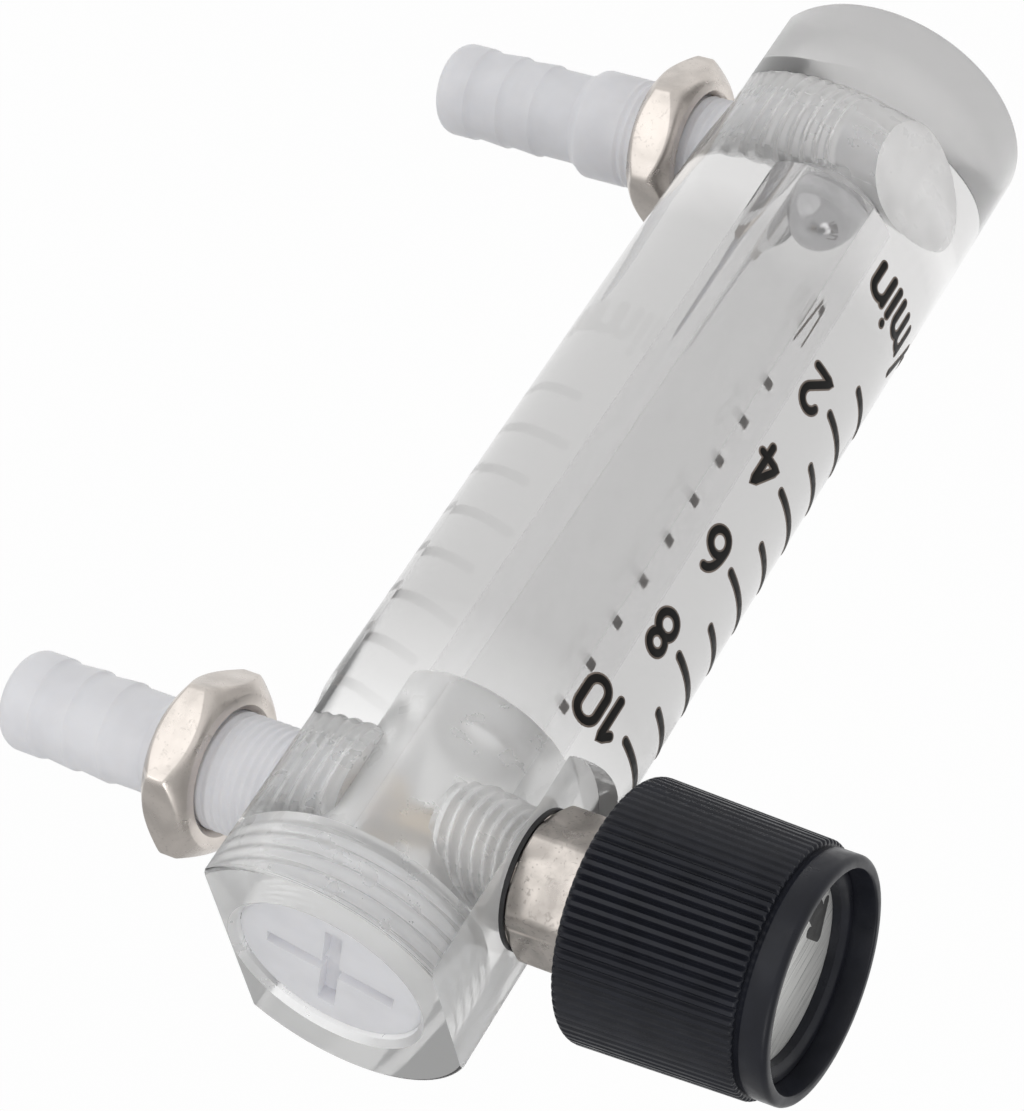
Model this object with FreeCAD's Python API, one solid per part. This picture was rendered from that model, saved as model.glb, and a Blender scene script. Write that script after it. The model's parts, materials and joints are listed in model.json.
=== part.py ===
import FreeCAD, Part
import math
import os

# Oxygen flowmeter for panel mounting. Millimetres, +Z up, origin at the centre of the bottom face.
# The valve knob looks towards -Y and the two hose connections leave towards +Y.

V = FreeCAD.Vector

# Clearances
RUN = 0.05
THREAD_GAP = 0.03
SEAT_GAP = 0.08
PRESS_GAP = 0.01
HOLE_RELIEF = 0.3

# Clear body
BODY_R = 12.5
EDGE = 0.35
BACK_CUT = 3.9
BACK_FLAT_Y = BODY_R - BACK_CUT
BACK_SPOT_R = 9.3
FRONT_CUT = 1.8
FRONT_FLAT_Y = FRONT_CUT - BODY_R
FRONT_SPOT_R = 9.8

# Hose connections
STUB_R = 4.95
STUB_IN_Y = 3.9
STUB_L = 16.2
OUTLET_DEEPER = 2.2
INLET_STUB_END_Y = BACK_FLAT_Y + STUB_L
OUTLET_STUB_END_Y = INLET_STUB_END_Y - OUTLET_DEEPER
TAIL_L = 14.8
BARB_CREST_R = 4.25
BARB_ROOT_R = BARB_CREST_R - 0.2
BARB_FIRST = 4.3
BARB_PITCH = 3.4
HOSE_BORE_R = 2.4

# Heights of the connections and the valve
INLET_Z = 10.0
PORT_PITCH = 76.0
OUTLET_Z = INLET_Z + PORT_PITCH
VALVE_Z = OUTLET_Z

# Threaded plug in the upper end, which sets the body's length
PLUG_R = 8.0
PLUG_H = 6.0
PLUG_SINK = 0.7
RING_T = 0.9
RING_R = PLUG_R - 0.6
RING_BORE_R = RING_R - 1.8
PLUG_HOLE_Z = OUTLET_Z + STUB_R + 1.45
PLUG_LOW_Z = PLUG_HOLE_Z + RING_T
PLUG_TOP_Z = PLUG_LOW_Z + PLUG_H
PLUG_SLOT_W = 1.5
PLUG_SLOT_L = 11.0
PLUG_SLOT_D = 1.2
BODY_L = PLUG_TOP_Z + PLUG_SINK

# Float and its tapered tube, which lies between the ports
BALL_R = 3.375
STOP_H = 2.0
TAPER_LOW_R = BALL_R + 0.065
TAPER_LOW_Z = INLET_Z + STUB_R + 0.65
TAPER_TOP_R = TAPER_LOW_R + 0.56
TAPER_TOP_Z = VALVE_Z - STUB_R - STOP_H - 3.45
FEED_R = BALL_R - 1.375
STOP_R = TAPER_TOP_R + 0.6
STOP_BORE_R = BALL_R - 0.775
INLET_HOLE_Y = -FEED_R - 1.5

# Panel nuts. The corner angles say how far each one happens to be turned.
NUT_AF = 14.2
NUT_T = 4.3
NUT_FACE_R = NUT_AF / 2.0 - 0.6
NUT_CHAMFER_DEG = 40.0
OUTLET_NUT_GAP = 8.4
INLET_NUT_GAP = 5.1
OUTLET_NUT_CORNER_DEG = -11.0
INLET_NUT_CORNER_DEG = 10.0
OUTLET_NUT_Y = BACK_FLAT_Y + OUTLET_NUT_GAP + NUT_T / 2.0
INLET_NUT_Y = BACK_FLAT_Y + INLET_NUT_GAP + NUT_T / 2.0

# Valve bonnet
BONNET_R = 4.5
SHANK_L = 8.0
BONNET_IN_Y = FRONT_FLAT_Y + SHANK_L
GASKET_T = 0.4
GASKET_R = BONNET_R + 1.25
HEX_AF = 11.0
HEX_L = 6.1
HEX_CHAMFER = 0.5
NECK_L = 4.2
HEX_START_Y = FRONT_FLAT_Y - GASKET_T
HEX_END_Y = HEX_START_Y - HEX_L
NECK_R = BONNET_R - 0.3
NECK_END_Y = HEX_END_Y - NECK_L
NECK_WALL = 1.6

# Stem, its seal, the needle and its seat
STEM_THREAD_R = 2.5
STEM_R = STEM_THREAD_R - 0.5
STEM_SHOULDER_Y = NECK_END_Y + 5.0
STEM_RING_Y = FRONT_FLAT_Y - 3.7
STEM_RING_W = 1.4
STEM_RING_R = STEM_THREAD_R + 0.05
STEM_RING_DEEP = 0.75
STEM_BORE_R = STEM_RING_R + RUN
SEAT_R = STUB_R - 1.75
SEAT_BORE_R = 0.9
SEAT_MOUTH_R = SEAT_BORE_R + 0.55
SEAT_IN_Y = STUB_IN_Y - 0.3
SEAT_OUT_Y = STUB_IN_Y + 3.2
SEAT_CONE_L = 1.1
SEAT_SLOPE = (SEAT_MOUTH_R - SEAT_BORE_R) / SEAT_CONE_L
NEEDLE_TAPER_Y = SEAT_IN_Y - 0.4
NEEDLE_TIP_Y = SEAT_IN_Y + 1.6
NEEDLE_R = SEAT_MOUTH_R - SEAT_GAP + (SEAT_IN_Y - NEEDLE_TAPER_Y) * SEAT_SLOPE
NEEDLE_TIP_R = NEEDLE_R - (NEEDLE_TIP_Y - NEEDLE_TAPER_Y) * SEAT_SLOPE

# Knob
KNOB_R = 10.6
KNOB_TAPER = 0.45
KNOB_FRONT_R = KNOB_R - KNOB_TAPER
KNOB_GAP = 0.45
KNOB_RIB_L = 14.85
KNOB_LIP_L = 2.65
KNOB_BACK_Y = HEX_END_Y - KNOB_GAP
KNOB_RIB_END_Y = KNOB_BACK_Y - KNOB_RIB_L
KNOB_LIP_Y = KNOB_RIB_END_Y - KNOB_LIP_L
KNOB_LIP_R = KNOB_FRONT_R - 0.4
KNOB_LIP_WALL = 1.0
KNOB_ROUND = 0.9
KNOB_RIBS = 82
RIB_DEPTH = 0.28
KNOB_WALL = 1.5
WEB_IN = 2.9
KNOB_SKIRT_R = KNOB_R - KNOB_WALL
KNOB_WEB_Y = KNOB_RIB_END_Y + WEB_IN
HUB_WALL = 2.0
HUB_GAP = 1.2
DISC_MARGIN = 2.45
HUB_R = STEM_R + HUB_WALL
HUB_START_Y = NECK_END_Y - HUB_GAP
DISC_R = KNOB_LIP_R - DISC_MARGIN
DISC_Y = KNOB_RIB_END_Y + 0.8
DISC_T = 0.4
STEM_END_Y = KNOB_WEB_Y + 0.4
SCREW_R = STEM_R - 0.75
SCREW_L = 4.6
SCREW_HEAD_R = SCREW_R + 1.35
SCREW_HEAD_H = 1.0
SCREW_SLOT_W = 0.6
SCREW_SLOT_D = 0.5
SCREW_SEAT_Y = STEM_END_Y - 0.9


def cyl_z(r, z0, z1):
    return Part.makeCylinder(r, z1 - z0, V(0, 0, z0), V(0, 0, 1))


def cyl_y(r, y0, y1, z):
    return Part.makeCylinder(r, y1 - y0, V(0, y0, z), V(0, 1, 0))


def box(x0, x1, y0, y1, z0, z1):
    return Part.makeBox(x1 - x0, y1 - y0, z1 - z0, V(x0, y0, z0))


def turn_z(points):
    """Solid of revolution about the Z axis from (radius, z) points."""
    wire = Part.makePolygon([V(r, 0, z) for r, z in points + points[:1]])
    return Part.Face(wire).revolve(V(0, 0, 0), V(0, 0, 1), 360)


def turn_y(points, z):
    """Solid of revolution about a line along Y at height z from (radius, y) points."""
    wire = Part.makePolygon([V(0, y, z + r) for r, y in points + points[:1]])
    return Part.Face(wire).revolve(V(0, 0, z), V(0, 1, 0), 360)


def hexagon_y(af, y0, y1, z, start_deg):
    """Hexagonal bar along Y, with a corner at start_deg from +X."""
    r = af / math.sqrt(3.0)
    pts = []
    for i in range(7):
        a = math.radians(start_deg + 60.0 * i)
        pts.append(V(r * math.cos(a), y0, z + r * math.sin(a)))
    return Part.Face(Part.makePolygon(pts)).extrude(V(0, y1 - y0, 0))


def make_body():
    body = turn_z([
        (0, 0), (BODY_R - EDGE, 0), (BODY_R, EDGE), (BODY_R, BODY_L - EDGE),
        (BODY_R - EDGE, BODY_L), (0, BODY_L),
    ])
    far = BODY_R + 1.0
    cuts = []
    # Flats milled behind the two hose connections, each with a rounded inner end
    cuts.append(box(-far, far, BACK_FLAT_Y, far, OUTLET_Z, BODY_L + 1))
    cuts.append(cyl_y(BACK_SPOT_R, BACK_FLAT_Y, far, OUTLET_Z))
    cuts.append(box(-far, far, BACK_FLAT_Y, far, -1, INLET_Z))
    cuts.append(cyl_y(BACK_SPOT_R, BACK_FLAT_Y, far, INLET_Z))
    # Flat under the valve
    cuts.append(box(-far, far, -far, FRONT_FLAT_Y, VALVE_Z, BODY_L + 1))
    cuts.append(cyl_y(FRONT_SPOT_R, -far, FRONT_FLAT_Y, VALVE_Z))
    # Gas way: feed hole, ball seat at 45 degrees, taper, stop pocket and plug hole in one turned tool
    lead = 0.6
    cuts.append(turn_z([
        (0, INLET_Z), (FEED_R, INLET_Z), (FEED_R, TAPER_LOW_Z - (TAPER_LOW_R - FEED_R)),
        (TAPER_LOW_R, TAPER_LOW_Z), (TAPER_TOP_R, TAPER_TOP_Z), (STOP_R, TAPER_TOP_Z),
        (STOP_R, PLUG_HOLE_Z), (PLUG_R, PLUG_HOLE_Z), (PLUG_R, BODY_L - lead + 0.1),
        (PLUG_R + lead, BODY_L + 0.1), (0, BODY_L + 0.1),
    ]))
    hole_r = STUB_R + THREAD_GAP
    cuts.append(cyl_y(hole_r, INLET_HOLE_Y, far, INLET_Z))
    cuts.append(cyl_y(hole_r, SEAT_IN_Y - HOLE_RELIEF, far, OUTLET_Z))
    cuts.append(cyl_y(BONNET_R + THREAD_GAP, -far, BONNET_IN_Y + HOLE_RELIEF, VALVE_Z))
    for tool in cuts:
        body = body.cut(tool)
    return body


def make_plug():
    top = PLUG_TOP_Z
    low = PLUG_LOW_Z
    r = PLUG_R - THREAD_GAP
    bevel = 0.5
    plug = turn_z([
        (0, low), (r - bevel, low), (r, low + bevel), (r, top - bevel), (r - bevel, top), (0, top),
    ])
    half_w = PLUG_SLOT_W / 2.0
    half_l = PLUG_SLOT_L / 2.0
    plug = plug.cut(box(-half_w, half_w, -half_l, half_l, top - PLUG_SLOT_D, top + 1))
    plug = plug.cut(box(-half_l, half_l, -half_w, half_w, top - PLUG_SLOT_D, top + 1))
    return plug


def make_plug_ring():
    z = PLUG_HOLE_Z + PRESS_GAP
    top = PLUG_LOW_Z - PRESS_GAP
    return cyl_z(RING_R, z, top).cut(cyl_z(RING_BORE_R, z - 1, top + 1))


def make_ball():
    # The ball rests on the 45 degree seat
    seat_tip_z = TAPER_LOW_Z - TAPER_LOW_R
    return Part.makeSphere(BALL_R, V(0, 0, seat_tip_z + BALL_R * math.sqrt(2.0) + PRESS_GAP))


def make_stop():
    z = TAPER_TOP_Z + PRESS_GAP
    ring = cyl_z(STOP_R - PRESS_GAP, z, z + STOP_H)
    return ring.cut(cyl_z(STOP_BORE_R, z - 1, z + STOP_H + 1))


def make_fitting(z, end, seat):
    crest = BARB_CREST_R
    root = BARB_ROOT_R
    tip = end + TAIL_L
    lead = 0.5
    # Threaded shank with a rounded shoulder, then a hollow corner down to the tail
    outer = [
        (STUB_R - lead, STUB_IN_Y), (STUB_R, STUB_IN_Y + lead), (STUB_R, end - 0.7),
        (STUB_R - 0.25, end - 0.2), (root + 0.3, end + 0.3), (root, end + 1.0),
    ]
    # Three low barbs with their steep sides towards the body, the last one carried on to the tip
    for i in range(3):
        rise_y = end + BARB_FIRST + BARB_PITCH * i
        outer.append((root, rise_y))
        outer.append((crest, rise_y + 0.4))
    outer.append((crest, tip - 1.5))
    outer.append((crest - 0.5, tip - 0.4))
    outer.append((crest - 1.2, tip))
    if seat:
        step = SEAT_OUT_Y + 2 * PRESS_GAP
        pocket = SEAT_R + PRESS_GAP
        inner = [(HOSE_BORE_R, tip), (HOSE_BORE_R, step), (pocket, step), (pocket, STUB_IN_Y)]
    else:
        inner = [(HOSE_BORE_R, tip), (HOSE_BORE_R, STUB_IN_Y)]
    return turn_y(outer + inner, z)


def make_seat():
    return turn_y([
        (SEAT_MOUTH_R, SEAT_IN_Y), (SEAT_R, SEAT_IN_Y), (SEAT_R, SEAT_OUT_Y),
        (SEAT_BORE_R, SEAT_OUT_Y), (SEAT_BORE_R, SEAT_IN_Y + SEAT_CONE_L),
    ], OUTLET_Z)


def make_nut(y, z, corner_deg):
    t = NUT_T / 2.0
    nut = hexagon_y(NUT_AF, y - t, y + t, z, corner_deg)
    # Both faces are turned down to a cone that cuts the corners back and leaves each side an arched outline
    corner = NUT_AF / math.sqrt(3.0) + 0.01
    drop = (corner - NUT_FACE_R) * math.tan(math.radians(NUT_CHAMFER_DEG))
    rim = turn_y([
        (0, y - t), (NUT_FACE_R, y - t), (corner, y - t + drop), (corner, y + t - drop),
        (NUT_FACE_R, y + t), (0, y + t),
    ], z)
    nut = nut.common(rim)
    r = STUB_R + RUN
    lead = 0.5
    bore = turn_y([
        (0, y - t - 1), (r + lead, y - t - 1), (r + lead, y - t), (r, y - t + lead), (r, y + t - lead),
        (r + lead, y + t), (r + lead, y + t + 1), (0, y + t + 1),
    ], z)
    return nut.cut(bore)


def make_bonnet():
    bar = hexagon_y(HEX_AF, HEX_END_Y, HEX_START_Y, VALVE_Z, 0.0)
    corner = HEX_AF / math.sqrt(3.0) + 0.01
    bevel = 0.5
    rim = turn_y([
        (0, HEX_END_Y), (HEX_AF / 2.0, HEX_END_Y), (corner, HEX_END_Y + HEX_CHAMFER),
        (corner, HEX_START_Y - HEX_CHAMFER), (HEX_AF / 2.0, HEX_START_Y), (0, HEX_START_Y),
    ], VALVE_Z)
    bar = bar.common(rim)
    neck = turn_y([
        (0, NECK_END_Y), (NECK_R - bevel, NECK_END_Y), (NECK_R, NECK_END_Y + bevel),
        (NECK_R, HEX_END_Y), (0, HEX_END_Y),
    ], VALVE_Z)
    shank = turn_y([
        (0, HEX_START_Y), (BONNET_R, HEX_START_Y), (BONNET_R, BONNET_IN_Y - bevel),
        (BONNET_R - bevel, BONNET_IN_Y), (0, BONNET_IN_Y),
    ], VALVE_Z)
    bonnet = bar.fuse([neck, shank]).removeSplitter()
    neck_bore_r = STEM_R + RUN
    bore = turn_y([
        (0, NECK_END_Y - 1), (neck_bore_r, NECK_END_Y - 1), (neck_bore_r, NECK_END_Y + NECK_WALL),
        (STEM_BORE_R, NECK_END_Y + NECK_WALL), (STEM_BORE_R, BONNET_IN_Y + 1), (0, BONNET_IN_Y + 1),
    ], VALVE_Z)
    return bonnet.cut(bore)


def make_gasket():
    y0 = HEX_START_Y + PRESS_GAP
    y1 = FRONT_FLAT_Y - PRESS_GAP
    hole = cyl_y(BONNET_R + 2 * PRESS_GAP, y0 - 1, y1 + 1, VALVE_Z)
    return cyl_y(GASKET_R, y0, y1, VALVE_Z).cut(hole)


def make_stem():
    low = STEM_RING_Y - STEM_RING_W / 2.0
    high = STEM_RING_Y + STEM_RING_W / 2.0
    groove_r = STEM_RING_R - STEM_RING_DEEP
    hole_end = STEM_END_Y + SCREW_L + 0.6
    return turn_y([
        (0, NEEDLE_TIP_Y), (NEEDLE_TIP_R, NEEDLE_TIP_Y), (NEEDLE_R, NEEDLE_TAPER_Y),
        (NEEDLE_R, BONNET_IN_Y - 1.5), (STEM_THREAD_R, BONNET_IN_Y - 2.4), (STEM_THREAD_R, high),
        (groove_r, high), (groove_r, low), (STEM_THREAD_R, low), (STEM_THREAD_R, STEM_SHOULDER_Y),
        (STEM_R, STEM_SHOULDER_Y), (STEM_R, STEM_END_Y), (SCREW_R, STEM_END_Y),
        (SCREW_R, hole_end), (0, hole_end + 0.6),
    ], VALVE_Z)


def make_stem_ring():
    half = STEM_RING_W / 2.0 - 0.1
    mid = STEM_RING_Y
    inner = STEM_RING_R - STEM_RING_DEEP + RUN
    shoulder = STEM_RING_R - 0.3
    return turn_y([
        (inner, mid - half), (shoulder, mid - half), (STEM_RING_R, mid - 0.25), (STEM_RING_R, mid + 0.25),
        (shoulder, mid + half), (inner, mid + half),
    ], VALVE_Z)


def rib_outline(y, top):
    """Closed outline of the ribs at one end of the knob, with flat crests of radius top."""
    pts = []
    for i in range(KNOB_RIBS):
        for k, r in ((0.1, top - RIB_DEPTH), (0.4, top), (0.8, top)):
            a = 2.0 * math.pi * (i + k) / KNOB_RIBS
            pts.append(V(r * math.cos(a), y, VALVE_Z + r * math.sin(a)))
    return Part.makePolygon(pts + pts[:1])


def make_knob():
    z = VALVE_Z
    # Straight ribs on a slightly tapering skirt, rounded off at the back
    ribbed = Part.makeLoft([
        rib_outline(KNOB_BACK_Y, KNOB_R - KNOB_ROUND),
        rib_outline(KNOB_BACK_Y - KNOB_ROUND, KNOB_R),
        rib_outline(KNOB_RIB_END_Y, KNOB_FRONT_R),
    ], True, True)
    lip_in = KNOB_LIP_R - KNOB_LIP_WALL
    groove_r = KNOB_LIP_R - 0.15
    front = turn_y([
        (0, KNOB_RIB_END_Y), (groove_r, KNOB_RIB_END_Y), (groove_r, KNOB_RIB_END_Y - 0.3),
        (KNOB_LIP_R, KNOB_RIB_END_Y - 0.5), (KNOB_LIP_R, KNOB_LIP_Y + 0.5),
        (KNOB_LIP_R - 0.5, KNOB_LIP_Y), (0, KNOB_LIP_Y),
    ], z)
    knob = ribbed.fuse(front).removeSplitter()
    # Stepped recess in the front for the disc, with the fixing screw's counterbore under it
    ledge_y = KNOB_LIP_Y + 1.9
    disc_hole_r = DISC_R + 2 * PRESS_GAP
    counter_r = SCREW_HEAD_R + 0.3
    recess = turn_y([
        (0, KNOB_LIP_Y - 1), (lip_in + 0.25, KNOB_LIP_Y - 1), (lip_in + 0.25, KNOB_LIP_Y),
        (lip_in, KNOB_LIP_Y + 0.35), (lip_in - 0.15, ledge_y), (DISC_R + 0.5, ledge_y),
        (disc_hole_r, ledge_y + 0.4), (disc_hole_r, DISC_Y), (counter_r, DISC_Y),
        (counter_r, SCREW_SEAT_Y), (0, SCREW_SEAT_Y),
    ], z)
    knob = knob.cut(recess)
    # Hollow skirt with a hub around the stem
    hollow = turn_y([
        (HUB_R, KNOB_WEB_Y), (KNOB_SKIRT_R, KNOB_WEB_Y), (KNOB_SKIRT_R, KNOB_BACK_Y + 1),
        (0, KNOB_BACK_Y + 1), (0, HUB_START_Y), (HUB_R, HUB_START_Y),
    ], z)
    knob = knob.cut(hollow)
    knob = knob.cut(cyl_y(STEM_R + PRESS_GAP, STEM_END_Y - PRESS_GAP, KNOB_BACK_Y, z))
    knob = knob.cut(cyl_y(SCREW_R + 0.15, DISC_Y, KNOB_BACK_Y, z))
    return knob


def make_knob_screw():
    head_y = SCREW_SEAT_Y - PRESS_GAP
    top_y = head_y - SCREW_HEAD_H
    shank_r = SCREW_R - PRESS_GAP
    screw = turn_y([
        (0, top_y), (SCREW_HEAD_R - 0.3, top_y), (SCREW_HEAD_R, top_y + 0.3), (SCREW_HEAD_R, head_y),
        (shank_r, head_y), (shank_r, STEM_END_Y + SCREW_L - 0.4), (shank_r - 0.4, STEM_END_Y + SCREW_L),
        (0, STEM_END_Y + SCREW_L),
    ], VALVE_Z)
    half_w = SCREW_SLOT_W / 2.0
    reach = SCREW_HEAD_R + 1.0
    slot = box(-half_w, half_w, top_y - 1, top_y + SCREW_SLOT_D, VALVE_Z - reach, VALVE_Z + reach)
    return screw.cut(slot)


def make_disc():
    return cyl_y(DISC_R, DISC_Y - DISC_T - PRESS_GAP, DISC_Y - PRESS_GAP, VALVE_Z)


NODES = {
    "meter_body": make_body(),
    "end_plug": make_plug(),
    "end_plug_seal": make_plug_ring(),
    "float_ball": make_ball(),
    "float_stop": make_stop(),
    "inlet_fitting": make_fitting(INLET_Z, INLET_STUB_END_Y, False),
    "outlet_fitting": make_fitting(OUTLET_Z, OUTLET_STUB_END_Y, True),
    "valve_seat": make_seat(),
    "inlet_nut": make_nut(INLET_NUT_Y, INLET_Z, INLET_NUT_CORNER_DEG),
    "outlet_nut": make_nut(OUTLET_NUT_Y, OUTLET_Z, OUTLET_NUT_CORNER_DEG),
    "valve_bonnet": make_bonnet(),
    "bonnet_gasket": make_gasket(),
    "valve_stem": make_stem(),
    "stem_seal": make_stem_ring(),
    "knob": make_knob(),
    "knob_screw": make_knob_screw(),
    "knob_disc": make_disc(),
}
os.makedirs("parts", exist_ok=True)
for name, shape in NODES.items():
    shape.exportStep("parts/" + name + ".step")
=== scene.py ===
import json
import math

import bmesh
import bpy
from bpy.props import FloatProperty, FloatVectorProperty, IntProperty, PointerProperty
from bpy.types import Operator, Panel, PropertyGroup
from mathutils import Matrix, Vector


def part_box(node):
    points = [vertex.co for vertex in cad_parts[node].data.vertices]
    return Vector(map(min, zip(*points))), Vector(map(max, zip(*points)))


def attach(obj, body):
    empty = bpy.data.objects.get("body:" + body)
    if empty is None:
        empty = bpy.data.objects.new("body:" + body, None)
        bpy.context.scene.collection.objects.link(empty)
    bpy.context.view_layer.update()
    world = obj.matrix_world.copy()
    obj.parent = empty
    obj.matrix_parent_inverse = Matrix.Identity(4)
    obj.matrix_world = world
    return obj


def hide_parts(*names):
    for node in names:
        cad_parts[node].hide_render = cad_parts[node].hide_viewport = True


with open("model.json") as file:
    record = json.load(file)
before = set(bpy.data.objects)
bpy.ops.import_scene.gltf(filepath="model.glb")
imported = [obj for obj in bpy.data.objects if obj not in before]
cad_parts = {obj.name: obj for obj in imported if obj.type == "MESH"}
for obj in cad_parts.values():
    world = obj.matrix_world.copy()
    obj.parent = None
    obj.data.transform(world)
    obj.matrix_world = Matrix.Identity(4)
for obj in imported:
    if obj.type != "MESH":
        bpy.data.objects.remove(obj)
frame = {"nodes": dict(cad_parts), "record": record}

bl_info = {
    "name": "Oxygen flowmeter",
    "version": (1, 0, 0),
    "blender": (4, 5, 0),
    "location": "3D View > Sidebar > Flowmeter",
    "description": "Clear flowmeter with a needle valve, dressed round its packed frame",
    "category": "Object",
}

MM = 0.001
TURN = 2.0 * math.pi
WELD = 2e-6
HEXAGON_SHARP = 32.0

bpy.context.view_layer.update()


def span(node):
    """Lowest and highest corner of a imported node."""
    low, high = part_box(node)
    return Vector(low), Vector(high)


def mount(name):
    """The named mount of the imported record."""
    return next(m for m in frame["record"]["mounts"] if m["name"] == name)


BODY_HIGH = span("meter_body")[1]
INLET_LOW, INLET_HIGH = span("inlet_fitting")
OUTLET_LOW, OUTLET_HIGH = span("outlet_fitting")
INLET_NUT_LOW, INLET_NUT_HIGH = span("inlet_nut")
OUTLET_NUT_LOW, OUTLET_NUT_HIGH = span("outlet_nut")
PLUG_LOW, PLUG_HIGH = span("end_plug")
PLUG_RING_LOW = span("end_plug_seal")[0]
BALL_LOW, BALL_HIGH = span("float_ball")
STOP_LOW = span("float_stop")[0]
BONNET_LOW, BONNET_HIGH = span("valve_bonnet")
GASKET_LOW, GASKET_HIGH = span("bonnet_gasket")
KNOB_LOW, KNOB_HIGH = span("knob")
DISC_LOW, DISC_HIGH = span("knob_disc")
SEAT_HIGH = span("valve_seat")[1]

BODY_R = BODY_HIGH.x
BODY_L = BODY_HIGH.z
INLET_Z = (INLET_LOW.z + INLET_HIGH.z) / 2.0
OUTLET_Z = (OUTLET_LOW.z + OUTLET_HIGH.z) / 2.0
VALVE_Z = (BONNET_LOW.z + BONNET_HIGH.z) / 2.0
STUB_R = (INLET_HIGH.z - INLET_LOW.z) / 2.0
STUB_IN_Y = INLET_LOW.y
BALL_R = BALL_HIGH.x
BALL_Z = (BALL_LOW.z + BALL_HIGH.z) / 2.0
PLUG_R = PLUG_HIGH.x
BACK_FLAT_Y = mount("upper_panel_face")["pos_m"][1]

# Fits that the solids keep between pieces
FACE_GAP = 0.01 * MM
THREAD_GAP = 0.03 * MM
FRONT_FLAT_Y = GASKET_HIGH.y + FACE_GAP


def size_in_mm(name, description, value):
    """A length that a user may change."""
    return FloatProperty(name=name, description=description, default=value * MM, unit="LENGTH")


def angle_in_degrees(name, description, value):
    """An angle that a user may change."""
    return FloatProperty(name=name, description=description, default=math.radians(value), subtype="ANGLE")


def part_of_one(name, description, value):
    """A share from 0 to 1 that a user may change."""
    return FloatProperty(name=name, description=description, default=value, min=0.0, max=1.0)


def colour_choice(name, description, value):
    """A colour that a user may change."""
    return FloatVectorProperty(name=name, description=description, default=value, size=3, subtype="COLOR")


def place_choice(name, description, value):
    """A place that a user may change."""
    return FloatVectorProperty(
        name=name, description=description, default=value, size=3, subtype="TRANSLATION", unit="LENGTH",
    )


class ClearBarSizes(PropertyGroup):
    edge: size_in_mm("Edge", "Break of the bar's end edges", 0.35)
    back_spot: size_in_mm("Back spot radius", "Rounded end of the flats behind the hose connections", 9.3)
    front_spot: size_in_mm("Front spot radius", "Rounded end of the flat under the valve", 9.8)
    taper_low: size_in_mm("Tube radius, low", "Radius of the tapered tube at its foot", 3.44)
    taper_top: size_in_mm("Tube radius, top", "Radius of the tapered tube at its head", 4.0)
    feed: size_in_mm("Feed radius", "Radius of the gas way under the ball", 2.0)
    stop_pocket: size_in_mm("Stop pocket radius", "Radius of the bore over the tube", 4.6)
    plug_hole: size_in_mm("Plug hole radius", "Radius of the plug's threaded hole", 8.0)
    inlet_hole_end: size_in_mm("Inlet hole end", "Inner end of the lower hole", -3.5)
    outlet_hole_end: size_in_mm("Outlet hole end", "Inner end of the upper hole", 3.3)
    valve_hole: size_in_mm("Valve hole radius", "Radius of the valve's threaded hole", 4.53)
    valve_hole_end: size_in_mm("Valve hole end", "Inner end of the valve's hole", -2.4)
    haze: part_of_one("Haze", "Share of light that the cut threads scatter", 0.5)
    face_haze: part_of_one("Face haze", "Share of light that the sawn and milled faces scatter", 0.42)
    segments: IntProperty(name="Segments", description="Facets round the bar", default=384, min=48)


class ThreadSizes(PropertyGroup):
    pitch: size_in_mm("Pitch", "Pitch of the port and nut threads", 0.8)
    depth: size_in_mm("Depth", "Depth of the hose connections' thread", 0.16)
    hole_depth: size_in_mm("Hole depth", "Depth of the grooves in the clear bar", 0.2)
    valve_pitch: size_in_mm("Valve pitch", "Pitch of the bonnet's thread", 1.0)
    plug_pitch: size_in_mm("Plug pitch", "Pitch of the end plug's thread", 1.25)


class FittingSizes(PropertyGroup):
    tail: size_in_mm("Tail", "Length of the hose tail past the threaded part", 14.8)
    collar: size_in_mm("Collar", "Smooth end of the threaded part", 4.2)
    crest: size_in_mm("Barb crest radius", "Radius over the barbs", 4.25)
    drop: size_in_mm("Barb drop", "Height of one barb", 0.2)
    first: size_in_mm("First barb", "Threaded part to the first barb", 4.3)
    pitch: size_in_mm("Barb pitch", "Distance between barbs", 3.4)
    bore: size_in_mm("Bore radius", "Radius of the gas way", 2.4)


class NutSizes(PropertyGroup):
    face_step: size_in_mm("Face step", "Flat to the edge of the turned face", 0.6)
    chamfer: angle_in_degrees("Chamfer", "Slope of the turned cone", 40.0)
    worn: size_in_mm("Worn edge", "Width of the rounded edges", 0.14)


class KnobSizes(PropertyGroup):
    ribs: IntProperty(name="Ribs", description="Number of ribs round the skirt", default=82, min=12)
    rib_depth: size_in_mm("Rib depth", "Depth between the ribs", 0.28)
    taper: size_in_mm("Taper", "Loss of radius towards the front", 0.45)
    back_round: size_in_mm("Back round", "Round of the back edge", 0.9)
    lip: size_in_mm("Lip length", "Length of the smooth front ring", 2.65)
    lip_step: size_in_mm("Lip step", "Step from the ribs down to the smooth ring", 0.4)
    lip_wall: size_in_mm("Lip wall", "Thickness of the front ring", 1.0)
    wall: size_in_mm("Wall", "Thickness of the skirt", 1.5)


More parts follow.
